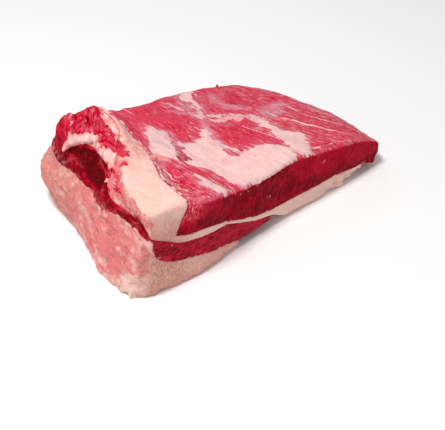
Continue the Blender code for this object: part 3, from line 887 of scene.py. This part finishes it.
def meat_material(name, palette):
    """Moist flesh: lean fibres, fat, silverskin and blushes, by the masks on the mesh."""
    shader = Shader(name)
    place = shader.node("ShaderNodeTexCoord", {}).outputs["Object"]
    runs = [shader.attribute(grain, "Vector") for grain in ("lying", "upright")]
    turn = shader.attribute("turn")
    fine = shader.noise(place, 900, 4)
    middle = shader.noise(place, 260, 4)
    broad = shader.noise(place, 70, 3)
    strand, thread = (
        shader.blend(turn, *(shader.noise(run, scale, detail, 0.6) for run in runs))
        for scale, detail in ((1.0, 3), (1.7, 2))
    )
    curl = shader.noise(place, 105, 2, 0.5, 1.6)
    fine_curl = shader.noise(place, 240, 2, 0.5, 1.4)

    fat, deep, veil, blush, line = (
        shader.attribute(mask) for mask in ("fat", "deep", "veil", "blush", "line")
    )

    edge = shader.maths("MULTIPLY_ADD", middle, 1.8, -0.9)
    strand_edge = shader.maths("MULTIPLY_ADD", strand, 1.6, -0.8)
    edge = shader.maths("ADD", edge, strand_edge)
    is_fat = shader.ramp(shader.maths("ADD", fat, edge), -0.6, 0.7)

    combing = shader.ramp(turn, 0.0, 1.0, 0.34, palette["upright_combing"])
    depth = shader.maths("MULTIPLY", shader.ramp(strand, 0.3, 0.7, -1.0, 1.0), combing)
    depth = shader.maths("ADD", depth, deep)
    depth = shader.maths("ADD", depth, shader.maths("MULTIPLY_ADD", fine, 0.6, -0.3))
    lean = shader.mix(shader.ramp(depth, 0.0, 0.5), palette["bright_and_sheen"], palette["lean"])
    lean = shader.mix(shader.ramp(depth, 0.45, 1.1), lean, palette["dark"])
    lean = shader.mix(shader.ramp(depth, 1.1, 1.8), lean, palette["black"])
    pale = shader.maths("MULTIPLY_ADD", line, 0.22, thread)
    pale = shader.maths("MULTIPLY", shader.ramp(pale, 0.61, 0.77), shader.ramp(deep, 1.0, 0.4))
    lean = shader.mix(shader.maths("MULTIPLY", pale, 0.75), lean, palette["fleck"])

    redness = shader.maths("ADD", blush, shader.maths("MULTIPLY_ADD", middle, 0.9, -0.45))
    cloud = shader.ramp(broad, 0.35, 0.7)
    drawn = shader.ramp(shader.noise(runs[0], 0.32, 3, 0.6), 0.42, 0.68)
    cloud = shader.maths("MULTIPLY_ADD", drawn, 0.55, shader.maths("MULTIPLY", cloud, 0.25))
    hard_fat = shader.mix(cloud, palette["fat"], palette["fat_dim"])
    hard_fat = shader.mix(shader.ramp(redness, 0.0, 1.0), hard_fat, palette["blush"])
    cool = shader.ramp(blush, -0.3, -1.1)
    hard_fat = shader.mix(cool, hard_fat, palette["cool"])
    grey = shader.maths("MULTIPLY", veil, shader.ramp(thread, 0.35, 0.62, 0.45, 1.0))
    hard_fat = shader.mix(grey, hard_fat, palette["fat_grey"])

    crack = shader.maths("ABSOLUTE", shader.maths("SUBTRACT", curl, 0.5))
    fine_crack = shader.maths("ABSOLUTE", shader.maths("SUBTRACT", fine_curl, 0.5))
    cracks = shader.maths(
        "MAXIMUM", shader.ramp(crack, 0.05, 0.0), shader.ramp(fine_crack, 0.07, 0.0, 0.0, 0.6)
    )
    vein = shader.maths("MULTIPLY", cracks, line)
    hard_fat = shader.mix(
        shader.maths("MULTIPLY", vein, palette["veining"]), hard_fat, palette["vein"]
    )

    colour = shader.mix(is_fat, lean, hard_fat)
    on_lean = shader.maths("SUBTRACT", 1.0, is_fat)
    film = shader.maths("MULTIPLY", veil, on_lean)
    film = shader.maths("MULTIPLY", film, shader.ramp(thread, 0.3, 0.65, 0.15, 1.0))
    colour = shader.mix(film, colour, palette["veil"])

    wet = shader.ramp(shader.noise(place, 330, 2), 0.42, 0.62)
    rough = shader.ramp(is_fat, 0.0, 1.0, palette["lean_rough"], palette["fat_rough"])
    rough = shader.maths("SUBTRACT", rough, shader.maths("MULTIPLY", wet, palette["wetness"]))

    bumpy = shader.maths("MULTIPLY", strand, shader.ramp(is_fat, 0.0, 1.0, 1.0, 0.25))
    bumpy = shader.maths("ADD", bumpy, shader.maths("MULTIPLY", fine, 0.35))
    bumpy = shader.maths("ADD", bumpy, shader.maths("MULTIPLY", middle, 0.5))
    bumpy = shader.maths("SUBTRACT", bumpy, shader.maths("MULTIPLY", vein, 0.3))
    bumpy = shader.maths("MULTIPLY", bumpy, shader.ramp(deep, 1.0, 1.4, 1.0, 0.4))
    bump = shader.node("ShaderNodeBump", {
        "Height": bumpy, "Distance": palette["bump_height"], "Strength": palette["bump"],
    })
    shader.fill(shader.principled, {
        "Base Color": colour,
        "Roughness": rough,
        "Normal": bump.outputs[0],
        "Subsurface Weight": palette["scatter"],
        "Subsurface Radius": palette["scatter_colours"],
        "Subsurface Scale": palette["scatter_depth"],
        "Specular IOR Level": palette["gloss"],
        "Coat Weight": palette["coat"],
        "Coat Roughness": palette["coat_rough"],
    })
    return shader.material


LEAN_PALETTE = {
    # the top's bright red, with the pink haze of a wet sheen painted into it
    "bright_and_sheen": (0.68, 0.05, 0.10, 1),
    "lean": (0.55, 0.003, 0.025, 1),
    "dark": (0.18, 0.001, 0.005, 1),
    "black": (0.075, 0.003, 0.004, 1),
    "fleck": (0.86, 0.40, 0.41, 1),
    "fat": (0.93, 0.61, 0.55, 1),
    "fat_dim": (0.90, 0.53, 0.50, 1),
    "fat_grey": (0.70, 0.46, 0.54, 1),
    "blush": (0.86, 0.23, 0.22, 1),
    "veil": (0.72, 0.37, 0.45, 1),
    "cool": (0.92, 0.67, 0.64, 1),
    "vein": (0.60, 0.14, 0.16, 1),
    "veining": 0.25,
    "upright_combing": 0.2,
    "lean_rough": 0.5,
    "fat_rough": 0.55,
    "wetness": 0.14,
    "gloss": 0.015,
    "coat": 0.03,
    "coat_rough": 0.12,
    "bump": 0.7,
    "bump_height": 0.0016,  # metres
    "scatter": 0.12,
    "scatter_colours": (1.0, 0.35, 0.25),
    "scatter_depth": 0.003,  # metres
}
POCKET_PALETTE = dict(LEAN_PALETTE, upright_combing=0.36)
FAT_PALETTE = dict(
    LEAN_PALETTE,
    fat=(0.93, 0.64, 0.53, 1),
    fat_grey=(0.59, 0.25, 0.195, 1),
    veining=0.85,
    gloss=0.08,
    coat=0.08,
)


def write_piece(name, mesh, points, masks, grains, material):
    """The finished mesh as an object, with the masks on its vertices."""
    mesh.vertices.foreach_set("co", ((points - ORIGIN) * MM).ravel())
    for mask, values in masks.items():
        layer = mesh.attributes.new(mask, "FLOAT", "POINT")
        layer.data.foreach_set("value", values.astype(np.float32))
    for grain, values in grains.items():
        layer = mesh.attributes.new(grain, "FLOAT_VECTOR", "POINT")
        layer.data.foreach_set("vector", values.astype(np.float32).ravel())
    mesh.shade_smooth()
    mesh.materials.clear()
    mesh.materials.append(material)
    mesh.update()
    piece = bpy.data.objects.new(name, mesh)
    bpy.context.scene.collection.objects.link(piece)
    return piece


def flat_grain(points, normals):
    """Coordinates drawn out along the fibres of the upper muscle and of the fat: lying, from
    the back to the cut side and slanting more towards the thin end, and upright, for steep
    faces. With them goes the share of the upright one."""
    x, y, z = points.T
    across = x + slant_of(points) * y
    lying = np.stack([across / 2.0, y / 14, z / 2.0], -1)
    upright = np.stack([x / 1.7, y / 1.7, z / 7], -1)
    return lying, upright, rise(0.65, 0.35, normals[:, 2])


def rolled_grain(points, normals):
    """The same for the lower muscle: lying over the lobe at the fatty end and along the band
    on the cut side, and upright down the lobe's pocket."""
    x, y, z = points.T
    across = x - 0.1 * y - 0.7 * np.maximum(0, y - 157)
    in_lobe = np.stack([across / 2.2, y / 16, z / 3.5], -1)
    in_band = np.stack([x / 8, y / 2.2, z / 2.2], -1)
    upright = np.stack([x / 2.0, y / 2.0, (0.35 * x + 0.25 * y + 0.9 * z) / 11], -1)
    far_in = y > 60
    steep = np.maximum(rise(0.6, 0.35, normals[:, 2]), rise(86, 78, z))
    return np.where(far_in[:, None], in_lobe, in_band), upright, np.where(far_in, steep, 0.0)


def clothe(node_name, relief_of, grain_of, palette, skin):
    """The piece that stands for a node: its mesh on the skin, with relief, masks and grain."""
    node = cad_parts[node_name]
    mesh = remeshed([node], PIECE_VOXEL, node_name + "_flesh")
    raw, triangles, _ = mesh_arrays(mesh)
    carried, normals, share = skin.follow(raw, vertex_normals(raw, triangles))
    gaps = skin.gaps(raw, node_name, share)
    relief, fat, deep, veil, blush, line = relief_of(carried, normals, gaps)
    relief = relief * rise(*JOINT_FADE, np.min(list(gaps.values()), axis=0))
    deep = np.minimum(deep, DEEPEST)
    points = carried + normals * (relief * share)[:, None]
    low, high = (np.array(corner) / MM + ORIGIN for corner in CAD_BOX)
    points = np.clip(points, low, high)
    lying, upright, turn = grain_of(carried, normals)
    masks = {
        "fat": fat, "deep": deep, "veil": veil, "blush": blush, "line": line, "turn": turn,
    }
    grains = {"lying": lying, "upright": upright}
    material = meat_material(node_name + "_flesh", palette)
    piece = write_piece(node_name + "_flesh", mesh, points, masks, grains, material)
    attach(piece, "root")
    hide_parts(node_name)
    print("piece", node_name, len(triangles), "triangles")


# ------------------------------------------------------------------ floor, light, camera


def make_floor():
    """A plain pale floor, out of sight at its edges."""
    mesh = bpy.data.meshes.new("floor")
    half = FLOOR_HALF
    corners = [(-half, -half, 0), (half, -half, 0), (half, half, 0), (-half, half, 0)]
    mesh.from_pydata(corners, [], [(0, 1, 2, 3)])
    shader = Shader("floor")
    shader.fill(
        shader.principled, {"Base Color": FLOOR_COLOUR, "Roughness": FLOOR_ROUGHNESS}
    )
    mesh.materials.append(shader.material)
    floor = bpy.data.objects.new("floor", mesh)
    bpy.context.scene.collection.objects.link(floor)


def make_lamp(name, place, target, size, power):
    """A round soft lamp that looks at the target."""
    data = bpy.data.lights.new(name, "AREA")
    data.shape = "DISK"
    data.size = size
    data.energy = power
    lamp = bpy.data.objects.new(name, data)
    lamp.location = place
    lamp.rotation_euler = (Vector(target) - Vector(place)).to_track_quat("-Z", "Y").to_euler()
    bpy.context.scene.collection.objects.link(lamp)


def make_world():
    """Even white light from all round."""
    world = bpy.data.worlds.new("studio")
    world.use_nodes = True
    background = world.node_tree.nodes["Background"]
    background.inputs["Color"].default_value = WORLD_COLOUR
    background.inputs["Strength"].default_value = WORLD_STRENGTH
    bpy.context.scene.world = world


def make_camera():
    """The photograph's camera, as solved from the corners of its board."""
    data = bpy.data.cameras.new("camera")
    data.sensor_width = CAMERA_SENSOR
    data.lens = CAMERA_LENS
    camera = bpy.data.objects.new("camera", data)
    camera.location = CAMERA_PLACE
    camera.rotation_euler = [math.radians(angle) for angle in CAMERA_TURN]
    bpy.context.scene.collection.objects.link(camera)
    bpy.context.scene.camera = camera


def main():
    """The four layers over their nodes, then the floor, the light and the camera."""
    skin = Skin(list(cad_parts.values()))
    clothe("upper_muscle", upper_muscle, flat_grain, LEAN_PALETTE, skin)
    clothe("lower_muscle", lower_muscle, rolled_grain, POCKET_PALETTE, skin)
    clothe("seam_fat", seam_fat, flat_grain, FAT_PALETTE, skin)
    clothe("fat_cap", fat_cap, flat_grain, FAT_PALETTE, skin)
    make_floor()
    make_world()
    make_lamp("key", KEY_PLACE, KEY_TARGET, KEY_SIZE, KEY_POWER)
    make_camera()
    bpy.context.scene.view_settings.view_transform = "Standard"


main()
